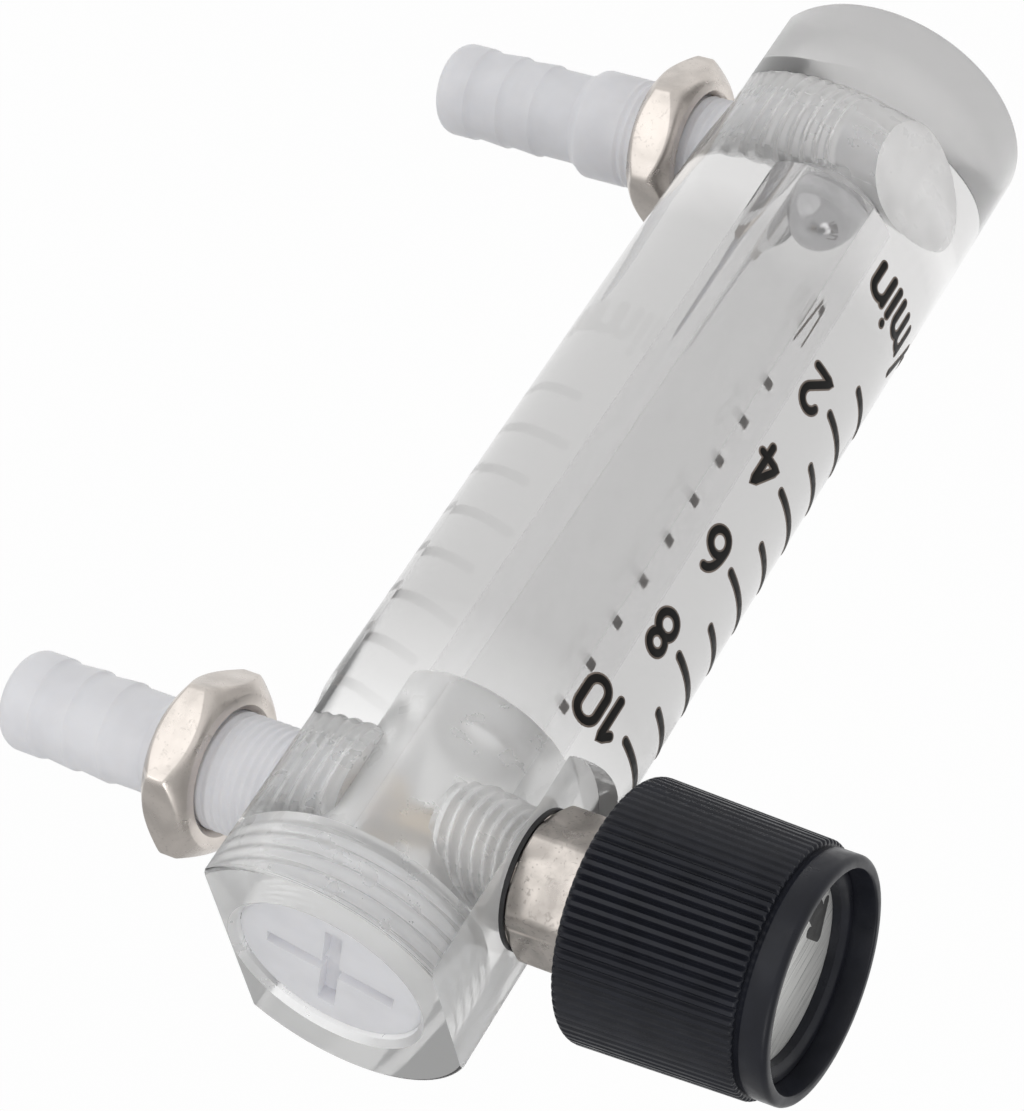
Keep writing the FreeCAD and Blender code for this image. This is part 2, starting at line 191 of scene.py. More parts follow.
class PrintSizes(PropertyGroup):
    stroke: size_in_mm("Stroke", "Width of the printed strokes", 0.62)
    # Painted shadow: width of the brown band beside the ink, which stands for the ink's shadow.
    edge: size_in_mm("Edge", "Width of the brown edge beside the ink", 0.11)
    digit: size_in_mm("Digit height", "Height of the numbers", 4.4)
    first_tick: size_in_mm("First tick", "Height of the first line above the foot", 32.5)
    last_tick: size_in_mm("Last tick", "Height of the tenth line above the foot", 73.4)
    raised: size_in_mm("Raised", "Thickness of the print", 0.05)
    line_start: size_in_mm("Line start", "Left end of the scale lines, round the bar", -5.0)
    long_end: size_in_mm("Long line end", "Right end of the lines with a number", 3.03)
    short_end: size_in_mm("Short line end", "Right end of the lines between them", 1.37)
    number_start: size_in_mm("Number start", "Left side of the numbers, round the bar", 4.2)
    number_drop: size_in_mm("Number drop", "Foot of a number under the middle of its line", 2.0)
    number_gap: size_in_mm("Number gap", "Space between the signs of a number", 1.0)
    unit_start: size_in_mm("Unit start", "Left side of the unit of flow, round the bar", -7.2)
    unit_foot: size_in_mm("Unit foot", "Height of the unit of flow above the foot of the bar", 22.6)
    unit_gap: size_in_mm("Unit gap", "Space between the letters of the unit", 1.25)


class Colours(PropertyGroup):
    acrylic: colour_choice("Acrylic", "Tint of the clear bar", (0.58, 0.575, 0.572))
    white: colour_choice("White plastic", "Hose connections and end plug", (0.87, 0.87, 0.9))
    nickel: colour_choice("Nickel", "Nuts and bonnet", (0.53, 0.49, 0.455))
    black: colour_choice("Black plastic", "Knob", (0.0105, 0.0115, 0.0165))
    ink: colour_choice("Ink", "Scale and numbers", (0.006, 0.0055, 0.005))
    # Painted shadow: brown of the band round the print, which stands for the ink's shadow.
    ink_edge: colour_choice("Ink edge", "Thin edge of the print", (0.17, 0.14, 0.12))
    steel: colour_choice("Steel", "Float ball", (0.60, 0.60, 0.61))
    brass: colour_choice("Brass", "Stem and seat", (0.62, 0.44, 0.22))
    rubber: colour_choice("Rubber", "Seals", (0.02, 0.02, 0.021))
    disc: colour_choice("Disc", "Brushed disc in the knob", (0.80, 0.80, 0.78))
    disc_print: colour_choice("Disc print", "Arrow and line on the disc", (0.055, 0.055, 0.055))
    floor: colour_choice("Floor", "Floor and backdrop", (0.92, 0.92, 0.92))


class StageSizes(PropertyGroup):
    azimuth: angle_in_degrees("Azimuth", "Turn of the camera round the bar", 60.704)
    elevation: angle_in_degrees("Elevation", "Height of the camera over the horizon", 31.389)
    roll: angle_in_degrees("Roll", "Roll of the camera about its view", 146.309)
    distance: size_in_mm("Distance", "Camera to the point it looks at", 302.84)
    aim: place_choice("Aim", "Point the camera looks at", (2.262 * MM, 4.031 * MM, 57.523 * MM))
    lens: FloatProperty(name="Lens", description="Focal length in millimetres", default=131.17)
    shift: FloatVectorProperty(
        name="Shift", description="Shift of the frame",
        default=(-0.0285, -0.0136), size=2,
    )
    world: FloatProperty(name="World light", description="Strength of the light all round", default=0.5)
    dark_side: FloatProperty(
        name="Dark side", description="Strength that metal mirrors from the side away from the lamps",
        default=0.55,
    )
    key: FloatProperty(
        name="Key light", description="Power of the large soft lamp",
        default=0.9, unit="POWER",
    )
    key_place: place_choice("Key place", "Place of the large soft lamp", (0.5, 0.22, 0.24))
    key_size: FloatProperty(
        name="Key size", description="Diameter of the large soft lamp",
        default=0.72, unit="LENGTH",
    )
    top: FloatProperty(name="Top light", description="Power of the lamp above", default=0.63, unit="POWER")
    top_place: place_choice("Top place", "Place of the lamp above", (0.05, -0.3, 0.6))
    top_size: FloatProperty(
        name="Top size", description="Diameter of the lamp above",
        default=0.35, unit="LENGTH",
    )
    floor_gap: size_in_mm("Floor gap", "Space between the bar's foot and the floor", 0.05)
    floor_glow: part_of_one("Floor glow", "Share of the floor seen as white, without its shadow", 0.97)


GROUPS = {
    "bar": ClearBarSizes,
    "thread": ThreadSizes,
    "fitting": FittingSizes,
    "nut": NutSizes,
    "knob": KnobSizes,
    "print": PrintSizes,
    "colours": Colours,
    "stage": StageSizes,
}


# Meshes

def round_angles(count):
    """Evenly spaced angles, with the start given again at the end."""
    return [TURN * i / count for i in range(count + 1)]


def hexagon_angles(start):
    """Angles round a hexagon, close together near its corners."""
    steps = (0.0, 0.4, 0.9, 1.6, 2.6, 4.0, 6.5, 10.0, 14.0, 18.0, 22.0, 26.0, 30.0)
    offsets = list(steps) + [60.0 - s for s in reversed(steps[1:-1])]
    angles = [start + 60.0 * k + s for k in range(6) for s in offsets] + [start + 360.0]
    return [math.radians(angle) for angle in angles]


class Turned:
    """Rows of (place along the axis, radius) round an axis, skinned into one mesh."""

    def __init__(self, angles):
        self.angles = angles
        self.rows = []

    def ring(self, along, radius):
        self.rows.append([(along, radius)] * len(self.angles))

    def rings(self, *places):
        for along, radius in places:
            self.ring(along, radius)

    def row(self, rule):
        self.rows.append([rule(angle) for angle in self.angles])

    def arc(self, centre_along, centre_radius, size, start, end, steps=6):
        """Rounded edge in the profile, from the start to the end angle in degrees."""
        for i in range(steps + 1):
            a = math.radians(start + (end - start) * i / steps)
            self.ring(centre_along + size * math.sin(a), centre_radius + size * math.cos(a))

    def thread(self, start, end, radius, depth, pitch, heights=(0.0, 0.5, 1.0, 1.0, 0.5, 0.0)):
        """Helical thread, whose depth adds to the radius. It runs out softly at both ends."""
        steps = len(heights)
        length = abs(end - start)
        way = 1.0 if end > start else -1.0
        for k in range(int(math.ceil(length / pitch + 1.0)) * steps + 1):
            row = []
            for angle in self.angles:
                gone = (k / steps - 1.0 + (angle - self.angles[0]) / TURN) * pitch
                gone = min(max(gone, 0.0), length)
                fade = min(gone, length - gone, 0.5 * pitch) / (0.5 * pitch)
                row.append((start + way * gone, radius + depth * heights[k % steps] * fade))
            self.rows.append(row)

    def build(self, name, axis, centre=(0.0, 0.0, 0.0), closed=False):
        """The piece as an object. Rows of radius 0 close to a point."""
        bm = bmesh.new()
        cx, cy, cz = centre
        grid = []
        for row in self.rows:
            line = []
            for angle, (along, radius) in zip(self.angles, row):
                across = radius * math.cos(angle)
                up = radius * math.sin(angle)
                if axis == "Z":
                    line.append(bm.verts.new((cx + across, cy + up, cz + along)))
                else:
                    line.append(bm.verts.new((cx + across, cy + along, cz + up)))
            grid.append(line)
        pairs = list(zip(grid, grid[1:]))
        if closed:
            pairs.append((grid[-1], grid[0]))
        for low, high in pairs:
            for i in range(len(low) - 1):
                bm.faces.new((low[i], low[i + 1], high[i + 1], high[i]))
        return finish_mesh(bm, name)


def finish_mesh(bm, name):
    """Welds, turns the faces outwards and links the mesh as an object."""
    bmesh.ops.remove_doubles(bm, verts=bm.verts, dist=WELD)
    bmesh.ops.recalc_face_normals(bm, faces=bm.faces)
    mesh = bpy.data.meshes.new(name)
    bm.to_mesh(mesh)
    bm.free()
    obj = bpy.data.objects.new(name, mesh)
    bpy.context.scene.collection.objects.link(obj)
    return obj


def smooth(obj, degrees=28.0):
    """Smooth faces with edges over the angle kept sharp."""
    mesh = obj.data
    mesh.polygons.foreach_set("use_smooth", [True] * len(mesh.polygons))
    mesh.set_sharp_from_angle(angle=math.radians(degrees))
    return obj


def carve(obj, *tools):
    """Cuts the tools from the object and throws them away."""
    for tool in tools:
        change = obj.modifiers.new("carve", "BOOLEAN")
        change.operation = "DIFFERENCE"
        change.solver = "EXACT"
        change.material_mode = "TRANSFER"
        change.object = tool
    depsgraph = bpy.context.evaluated_depsgraph_get()
    mesh = bpy.data.meshes.new_from_object(obj.evaluated_get(depsgraph))
    plain = obj.data
    obj.modifiers.clear()
    obj.data = mesh
    bpy.data.meshes.remove(plain)
    for tool in tools:
        mesh = tool.data
        bpy.data.objects.remove(tool)
        bpy.data.meshes.remove(mesh)
    return obj


def prism_y(name, outline, y0, y1):
    """Closed outline of (x, z) points carried from y0 to y1."""
    bm = bmesh.new()
    first = [bm.verts.new((x, y0, z)) for x, z in outline]
    last = [bm.verts.new((x, y1, z)) for x, z in outline]
    bm.faces.new(first)
    bm.faces.new(last)
    for i in range(len(outline)):
        j = (i + 1) % len(outline)
        bm.faces.new((first[i], first[j], last[j], last[i]))
    return finish_mesh(bm, name)


def box_tool(low, high):
    """Box between two corners."""
    outline = [(low[0], low[2]), (high[0], low[2]), (high[0], high[2]), (low[0], high[2])]
    return prism_y("tool", outline, low[1], high[1])


def finished(tool, material):
    """The tool with the finish that it leaves on what it cuts."""
    tool.data.materials.append(material)
    return tool


def spot_flat(radius, z, way, y0, y1, reach):
    """Tool for a flat with a rounded inner end, open upwards or downwards."""
    steps = 96
    outline = []
    for i in range(steps + 1):
        a = math.pi * i / steps
        outline.append((radius * math.cos(a), z - way * radius * math.sin(a)))
    outline += [(-radius, z + way * reach), (radius, z + way * reach)]
    return prism_y("tool", outline, y0, y1)


# Finishes

class Finish:
    """A node material under way, with short words for the nodes it uses."""

    def __init__(self, name):
        self.material = bpy.data.materials.new(name)
        self.material.use_nodes = True
        self.tree = self.material.node_tree
        self.shader = self.tree.nodes["Principled BSDF"]
        self.place = self.add("ShaderNodeTexCoord").outputs["Object"]

    def add(self, kind, **values):
        node = self.tree.nodes.new(kind)
        for key, value in values.items():
            setattr(node, key, value)
        return node

    def link(self, source, socket):
        self.tree.links.new(source, socket)

    def feed(self, name, source):
        self.link(source, self.shader.inputs[name])

    def set(self, **values):
        for key, value in values.items():
            self.shader.inputs[key.replace("_", " ")].default_value = value

    def noise(self, scale, detail=3.0, stretch=None, distortion=0.0):
        node = self.add("ShaderNodeTexNoise")
        node.inputs["Scale"].default_value = scale
        node.inputs["Detail"].default_value = detail
        node.inputs["Distortion"].default_value = distortion
        self.link(self.stretched(stretch) if stretch else self.place, node.inputs["Vector"])
        return node.outputs["Fac"]

    def stretched(self, stretch):
        node = self.add("ShaderNodeMapping")
        node.inputs["Scale"].default_value = stretch
        self.link(self.place, node.inputs["Vector"])
        return node.outputs["Vector"]

    def cells(self, scale):
        node = self.add("ShaderNodeTexVoronoi")
        node.inputs["Scale"].default_value = scale
        self.link(self.place, node.inputs["Vector"])
        return node.outputs["Distance"]

    def ramp(self, source, *stops):
        node = self.add("ShaderNodeValToRGB")
        band = node.color_ramp
        while len(band.elements) < len(stops):
            band.elements.new(0.5)
        for element, (at, colour) in zip(band.elements, stops):
            element.position = at
            element.color = (*colour, 1.0)
        self.link(source, node.inputs["Fac"])
        return node.outputs["Color"]

    def between(self, source, low, high, to_low, to_high):
        node = self.add("ShaderNodeMapRange")
        keys = ("From Min", "From Max", "To Min", "To Max")
        for key, value in zip(keys, (low, high, to_low, to_high)):
            node.inputs[key].default_value = value
        self.link(source, node.inputs["Value"])
        return node.outputs["Result"]

    def mix(self, share, a, b):
        node = self.add("ShaderNodeMix", data_type="RGBA")
        for key, value in (("Factor", share), ("A", a), ("B", b)):
            socket = next(s for s in node.inputs if s.name == key and s.enabled)
            if isinstance(value, float):
                socket.default_value = value
            elif isinstance(value, (tuple, list)):
                socket.default_value = (*value, 1.0)
            else:
                self.link(value, socket)
        return next(s for s in node.outputs if s.enabled)

    def bump(self, height, distance, strength=1.0, under=None):
        node = self.add("ShaderNodeBump")
        node.inputs["Strength"].default_value = strength
        node.inputs["Distance"].default_value = distance
        self.link(height, node.inputs["Height"])
        if under:
            self.link(under, node.inputs["Normal"])
        return node.outputs["Normal"]


def shade(colour, factor):
    """The colour made lighter or darker."""
    return tuple(min(c * factor, 1.0) for c in colour)


def tint_along(f, colour):
    """Tint of the clear plastic, with painted light: paler near the foot and palest towards the head,
    standing in for light that the cut walls round the ports and the valve scatter.
    """
    split = f.add("ShaderNodeSeparateXYZ")
    f.link(f.place, split.inputs["Vector"])
    along = f.between(split.outputs["Z"], 0.0, BODY_L, 0.0, 1.0)
    # Painted light: paler tints round the ports and towards the head.
    painted_light_tint = shade(colour, 1.62)
    painted_lighter_tint = shade(colour, 1.74)
    ports = ((0.04, colour), (0.075, painted_light_tint), (0.14, painted_light_tint), (0.19, colour))
    valve = ((0.72, colour), (0.8, painted_lighter_tint))
    f.feed("Base Color", f.ramp(along, *ports, *valve))


def clear_acrylic(colour):
    """Outer skin of the clear plastic, which carries all of its tint."""
    f = Finish("clear_acrylic")
    f.set(IOR=1.49, Transmission_Weight=1.0)
    # Tint with painted light round the ports and the valve.
    tint_along(f, colour)
    f.feed("Roughness", f.between(f.noise(180.0, 4.0), 0.35, 0.75, 0.026, 0.055))
    low = f.bump(f.noise(60.0, 1.0), 0.02 * MM, 0.5)
    f.feed("Normal", f.bump(f.noise(900.0, 3.0), 0.002 * MM, 0.6, low))
    return f.material


def bored_acrylic():
    """Polished wall of a bore inside the clear plastic."""
    f = Finish("bored_acrylic")
    f.set(Base_Color=(1.0, 1.0, 1.0, 1.0), IOR=1.49, Transmission_Weight=0.82)
    f.feed("Roughness", f.between(f.noise(260.0, 4.0), 0.35, 0.75, 0.02, 0.12))
    f.feed("Normal", f.bump(f.noise(300.0, 3.0, stretch=(1.0, 1.0, 0.15)), 0.004 * MM, 0.5))
    return f.material


def cut_acrylic(haze):
    """Threads and drilled walls inside the clear plastic, left cloudy by the tool."""
    f = Finish("cut_acrylic")
    f.set(Base_Color=(1.0, 1.0, 1.0, 1.0), IOR=1.49, Transmission_Weight=1.0 - haze)
    f.feed("Roughness", f.between(f.noise(500.0, 4.0), 0.3, 0.75, 0.22, 0.45))
    f.feed("Normal", f.bump(f.noise(900.0, 4.0), 0.01 * MM, 0.5))
    return f.material


def milled_acrylic(colour, haze):
    """Sawn ends and milled flats of the clear plastic, with fine marks and a little haze."""
    f = Finish("milled_acrylic")
    f.set(IOR=1.49, Transmission_Weight=1.0 - haze)
    # Tint with painted light round the ports and the valve.
    tint_along(f, colour)
    f.feed("Roughness", f.between(f.noise(350.0, 4.0), 0.3, 0.75, 0.03, 0.14))
    marks = f.noise(260.0, 2.0, stretch=(0.15, 6.0, 6.0))
    f.feed("Normal", f.bump(marks, 0.004 * MM, 0.5))
    return f.material


def white_plastic(colour):
    f = Finish("white_plastic")
    f.set(Subsurface_Weight=0.7, Subsurface_Scale=2.0 * MM, IOR=1.5, Specular_IOR_Level=0.35)
    f.shader.inputs["Subsurface Radius"].default_value = (1.0, 0.95, 0.9)
    f.feed("Base Color", f.ramp(f.noise(260.0, 4.0), (0.3, shade(colour, 0.94)), (0.6, colour)))
    f.feed("Roughness", f.between(f.noise(500.0, 4.0), 0.3, 0.7, 0.34, 0.5))
    f.feed("Normal", f.bump(f.noise(900.0, 4.0), 0.02 * MM, 0.35))
    return f.material


def nickel_plate(colour):
    f = Finish("nickel_plate")
    f.set(Metallic=1.0)
    # Sharp edges get a lighter colour: rubbed wear, and a painted highlight along the edges.
    corners = f.add("ShaderNodeNewGeometry").outputs["Pointiness"]
    worn = f.ramp(corners, (0.5, (0.0,) * 3), (0.56, (1.0,) * 3))
    stains = f.ramp(f.noise(330.0, 6.0, distortion=0.4), (0.34, shade(colour, 0.66)), (0.58, colour))
    pits = f.ramp(f.cells(1900.0), (0.05, (0.25,) * 3), (0.2, (1.0,) * 3))
    grime = f.ramp(f.noise(1500.0, 5.0, distortion=1.2), (0.3, (0.0,) * 3), (0.42, (1.0,) * 3))
    spots = f.mix(grime, shade(colour, 0.6), f.mix(pits, shade(colour, 0.5), stains))
    f.feed("Base Color", f.mix(worn, spots, shade(colour, 1.5)))
    f.feed("Roughness", f.between(f.noise(420.0, 5.0), 0.3, 0.7, 0.24, 0.38))
    low = f.bump(f.noise(240.0, 4.0), 0.03 * MM, 0.12)
    f.feed("Normal", f.bump(f.cells(1900.0), 0.012 * MM, 0.3, low))
    return f.material


def black_plastic(colour):
    f = Finish("black_plastic")
    f.set(Specular_IOR_Level=0.22)
    f.feed("Base Color", f.ramp(f.noise(400.0, 5.0), (0.35, colour), (0.75, shade(colour, 1.5))))
    f.feed("Roughness", f.between(f.noise(700.0, 4.0), 0.3, 0.7, 0.27, 0.42))
    f.feed("Normal", f.bump(f.noise(2200.0, 3.0), 0.006 * MM, 0.5))
    return f.material


def seal_rubber(colour):
    f = Finish("seal_rubber")
    f.feed("Base Color", f.ramp(f.noise(600.0, 4.0), (0.3, colour), (0.8, shade(colour, 1.8))))
    f.feed("Roughness", f.between(f.noise(900.0), 0.3, 0.7, 0.5, 0.7))
    f.feed("Normal", f.bump(f.noise(1500.0), 0.01 * MM, 0.5))
    return f.material


def ball_steel(colour):
    f = Finish("ball_steel")
    f.set(Metallic=1.0)
    dull, bright = shade(colour, 0.85), shade(colour, 1.15)
    f.feed("Base Color", f.ramp(f.noise(500.0, 5.0), (0.3, dull), (0.7, bright)))
    f.feed("Roughness", f.between(f.noise(800.0, 5.0), 0.35, 0.7, 0.08, 0.2))
    f.feed("Normal", f.bump(f.cells(1500.0), 0.01 * MM, 0.4))
    return f.material


def brass(colour):
    f = Finish("brass")
    f.set(Metallic=1.0)
    f.feed("Base Color", f.ramp(f.noise(300.0, 5.0), (0.3, shade(colour, 0.75)), (0.7, colour)))
    f.feed("Roughness", f.between(f.noise(500.0), 0.3, 0.7, 0.22, 0.38))
    f.feed("Normal", f.bump(f.noise(900.0, stretch=(1.0, 8.0, 1.0)), 0.01 * MM, 0.4))
    return f.material


def brushed_disc(colour):
    f = Finish("brushed_disc")
    f.set(Metallic=0.35)
    lines = f.noise(500.0, 3.0, stretch=(12.0, 1.0, 0.25))
    f.feed("Base Color", f.ramp(lines, (0.3, shade(colour, 0.8)), (0.7, shade(colour, 1.12))))
    f.feed("Roughness", f.between(lines, 0.3, 0.7, 0.24, 0.42))
    f.feed("Normal", f.bump(lines, 0.006 * MM, 0.5))
    return f.material


def printed_ink(name, colour):
    f = Finish(name)
    f.set(Specular_IOR_Level=0.12)
    f.feed("Base Color", f.ramp(f.noise(900.0, 4.0), (0.3, colour), (0.75, shade(colour, 1.8))))
    f.feed("Roughness", f.between(f.noise(1200.0), 0.3, 0.7, 0.35, 0.55))
    f.feed("Normal", f.bump(f.noise(2500.0), 0.004 * MM, 0.5))
    return f.material


FINISHES = {}


def finish_of(slot):
    """The material of a record slot, made once."""
    colours = bpy.context.scene.flowmeter_colours
    makers = {
        "clear_acrylic": (clear_acrylic, colours.acrylic),
        "white_plastic": (white_plastic, colours.white),
        "nickel_plate": (nickel_plate, colours.nickel),
        "black_plastic": (black_plastic, colours.black),
        "seal_rubber": (seal_rubber, colours.rubber),
        "ball_steel": (ball_steel, colours.steel),
        "brass": (brass, colours.brass),
        "brushed_disc": (brushed_disc, colours.disc),
    }
    if slot not in FINISHES:
        maker, colour = makers[slot]
        FINISHES[slot] = maker(tuple(colour))
    return FINISHES[slot]


def dress(obj, slot, body, *nodes):
    """Gives a new piece its finish and body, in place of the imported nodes."""
    obj.data.materials.clear()
    obj.data.materials.append(finish_of(slot))
    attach(obj, body)
    if nodes:
        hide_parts(*nodes)
    return obj


def dress_node(name, material):
    """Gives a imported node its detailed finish."""
    obj = frame["nodes"][name]
    if not obj.material_slots:
        obj.data.materials.append(None)
    for holder in obj.material_slots:
        holder.material = material


# Pieces

class FLOWMETER_OT_clear_bar(Operator):
    """Make the clear bar with its tapered tube, ports, flats and threads"""

    bl_idname = "flowmeter.clear_bar"
    bl_label = "Clear bar"

    def execute(self, context):
        size = context.scene.flowmeter_bar
        thread = context.scene.flowmeter_thread
        bar = Turned(round_angles(size.segments))
        bar.ring(0.0, 0.0)
        bar.arc(size.edge, BODY_R - size.edge, size.edge, -90.0, 0.0, 4)
        bar.arc(BODY_L - size.edge, BODY_R - size.edge, size.edge, 0.0, 90.0, 4)
        bar.ring(BODY_L, 0.0)
        bar = bar.build("clear_bar", "Z")
        skin = finish_of("clear_acrylic")
        milled = milled_acrylic(tuple(context.scene.flowmeter_colours.acrylic), size.face_haze)
        bored = bored_acrylic()
        cut = cut_acrylic(size.haze)
        bar.data.materials.append(skin)
        bar.data.materials.append(milled)
        for face in bar.data.polygons:
            face.material_index = int(abs(face.normal.z) > 0.99)
        far = BODY_R + 1.0 * MM
        reach = 20.0 * MM
        flats = [
            spot_flat(size.back_spot, OUTLET_Z, 1.0, BACK_FLAT_Y, far, reach),
            spot_flat(size.back_spot, INLET_Z, -1.0, BACK_FLAT_Y, far, reach),
            spot_flat(size.front_spot, VALVE_Z, 1.0, -far, FRONT_FLAT_Y, reach),
        ]
        carve(bar, *(finished(tool, milled) for tool in flats))
        hole_r = STUB_R + THREAD_GAP
        mouth = 0.2 * MM
        run_out = 0.3 * MM

        def threaded(end, first, flat, radius, pitch, way):
            hole = Turned(round_angles(96))
            hole.rings((end, 0.0), (end, radius))
            hole.thread(end + way * first, flat - way * mouth, radius, thread.hole_depth, pitch)
            hole.rings((flat + way * MM, radius), (flat + way * MM, 0.0))
            return hole

        inlet = threaded(size.inlet_hole_end, 3.0 * MM, BACK_FLAT_Y, hole_r, thread.pitch, 1.0)
        outlet = threaded(size.outlet_hole_end, run_out, BACK_FLAT_Y, hole_r, thread.pitch, 1.0)
        valve = threaded(
            size.valve_hole_end, run_out, FRONT_FLAT_Y, size.valve_hole, thread.valve_pitch, -1.0,
        )
        taper_low_z = INLET_Z + STUB_R + 0.65 * MM
        taper_top_z = STOP_LOW.z - FACE_GAP
        plug_hole_z = PLUG_RING_LOW.z - FACE_GAP
        overlap = 0.1 * MM
        seat_z = taper_low_z - (size.taper_low - size.feed)
        way_z = taper_top_z + overlap
        way = Turned(round_angles(192))
        way.rings(
            (INLET_Z, 0.0), (INLET_Z, size.feed), (seat_z, size.feed), (taper_low_z, size.taper_low),
            (taper_top_z, size.taper_top), (way_z, size.taper_top), (way_z, 0.0),
        )
        pocket_z = plug_hole_z + overlap
        pocket = Turned(round_angles(192))
        pocket.rings(
            (taper_top_z, 0.0), (taper_top_z, size.stop_pocket),
            (pocket_z, size.stop_pocket), (pocket_z, 0.0),
        )
        socket = Turned(round_angles(192))
        socket.rings((plug_hole_z, 0.0), (plug_hole_z, size.plug_hole))
        lead = 0.6 * MM
        top = BODY_L - 0.9 * MM
        socket.thread(plug_hole_z + lead, top, size.plug_hole, thread.hole_depth, thread.plug_pitch)
        socket.rings(
            (BODY_L - 0.5 * MM, size.plug_hole), (BODY_L + overlap, size.plug_hole + lead),
            (BODY_L + MM, size.plug_hole + lead), (BODY_L + MM, 0.0),
        )
        carve(
            bar,
            finished(way.build("tool", "Z"), bored),
            finished(pocket.build("tool", "Z"), cut),
            finished(socket.build("tool", "Z"), cut),
            finished(inlet.build("tool", "Y", (0.0, 0.0, INLET_Z)), cut),
            finished(outlet.build("tool", "Y", (0.0, 0.0, OUTLET_Z)), cut),
            finished(valve.build("tool", "Y", (0.0, 0.0, VALVE_Z)), cut),
        )
        smooth(bar)
        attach(bar, "frame")
        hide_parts("meter_body")
        return {"FINISHED"}


class FLOWMETER_OT_end_plug(Operator):
    """Make the white threaded plug with its cross slot, and finish its seal"""

    bl_idname = "flowmeter.end_plug"
    bl_label = "End plug"

    def execute(self, context):
        thread = context.scene.flowmeter_thread
        low, top = PLUG_LOW.z, PLUG_HIGH.z
        bevel = 0.5 * MM
        plug = Turned(round_angles(192))
        plug.rings((low, 0.0), (low, PLUG_R - bevel))
        plug.thread(low + bevel, top - bevel, PLUG_R, -0.5 * MM, thread.plug_pitch)
        plug.arc(top - bevel, PLUG_R - bevel, bevel, 20.0, 90.0, 5)
        plug.ring(top, 0.0)
        plug = plug.build("white_end_plug", "Z")
        half_w = 0.75 * MM
        half_l = 5.5 * MM
        deep = top - 1.2 * MM
        slot_turn = math.radians(-17.0)
        turn = Matrix.Rotation(slot_turn, 4, "Z")
        for x, y in ((half_w, half_l), (half_l, half_w)):
            arm = box_tool((-x, -y, deep), (x, y, top + MM))
            arm.data.transform(turn)
            carve(plug, finished(arm, finish_of("white_plastic")))
        smooth(plug)
        dress(plug, "white_plastic", "frame", "end_plug")
        dress_node("end_plug_seal", finish_of("seal_rubber"))
        return {"FINISHED"}


class FLOWMETER_OT_float(Operator):
    """Make the steel ball and finish its stop ring"""

    bl_idname = "flowmeter.float"
    bl_label = "Float ball"

    def execute(self, context):
        ball = Turned(round_angles(96))
        ball.arc(0.0, 0.0, BALL_R, -90.0, 90.0, 64)
        ball = ball.build("steel_ball", "Z", (0.0, 0.0, BALL_Z))
        smooth(ball)
        dress(ball, "ball_steel", "float", "float_ball")
        dress_node("float_stop", cut_acrylic(context.scene.flowmeter_bar.haze))
        return {"FINISHED"}


class FLOWMETER_OT_hose_fittings(Operator):
    """Make the two threaded hose connections with their barbs"""

    bl_idname = "flowmeter.hose_fittings"
    bl_label = "Hose fittings"

    def execute(self, context):
        size = context.scene.flowmeter_fitting
        thread = context.scene.flowmeter_thread
        root = size.crest - size.drop
        shoulder = 0.7 * MM
        hollow = 0.6 * MM
        crest_round = 0.15 * MM
        nose = 1.3 * MM
        lead = 0.25 * MM
        for name, node, z, tip in (
            ("lower_hose_tail", "inlet_fitting", INLET_Z, INLET_HIGH.y),
            ("upper_hose_tail", "outlet_fitting", OUTLET_Z, OUTLET_HIGH.y),
        ):
            end = tip - size.tail
            tail = Turned(round_angles(128))
            tail.rings((STUB_IN_Y, size.bore), (STUB_IN_Y, STUB_R - 0.5 * MM))
            tail.thread(STUB_IN_Y + 0.4 * MM, end - size.collar, STUB_R, -thread.depth, thread.pitch)
            tail.arc(end - shoulder, STUB_R - shoulder, shoulder, 0.0, 62.0, 6)
            tail.arc(end + 0.9 * MM, root + hollow, hollow, 238.0, 180.0, 6)
            for i in range(3):
                rise = end + size.first + size.pitch * i
                tail.rings((rise - 0.5 * MM, root), (rise, root + 0.02 * MM))
                tail.arc(rise + 0.4 * MM, size.crest - crest_round, crest_round, -50.0, 0.0, 4)
            tail.ring(tip - 1.6 * MM, size.crest)
            tail.arc(tip - nose, size.crest - nose, nose, 8.0, 90.0, 8)
            tail.rings((tip, size.bore + lead), (tip - lead, size.bore))
            if node == "outlet_fitting":
                pocket = SEAT_HIGH.x + FACE_GAP
                step = SEAT_HIGH.y + 2.0 * FACE_GAP
                tail.rows[0] = [(STUB_IN_Y, pocket)] * len(tail.angles)
                tail.rings((step, size.bore), (step, pocket))
            piece = tail.build(name, "Y", (0.0, 0.0, z), closed=True)
            smooth(piece)
            dress(piece, "white_plastic", "frame", node)
        return {"FINISHED"}


def hexagon_radius(angle, start, across_flats):
    """Radius of a hexagon with slightly worn corners."""
    offset = (angle - start) % (TURN / 6.0) - TURN / 12.0
    radius = across_flats / 2.0 / math.cos(offset)
    limit = across_flats / math.sqrt(3.0) - 0.1 * MM
    soft = 0.04 * MM
    return -soft * math.log(math.exp(-radius / soft) + math.exp(-limit / soft))


def hexagon_of(node, y0, y1):
    """Distance across flats and corner angle of a packed hexagon that lies along Y."""
    low, high = span(node)
    middle = (low.z + high.z) / 2.0
    corner, angle = max(
        (math.hypot(v.co.x, v.co.z - middle), math.atan2(v.co.z - middle, v.co.x))
        for v in frame["nodes"][node].data.vertices if y0 <= v.co.y <= y1
    )
    return corner * math.sqrt(3.0), angle % (TURN / 6.0)


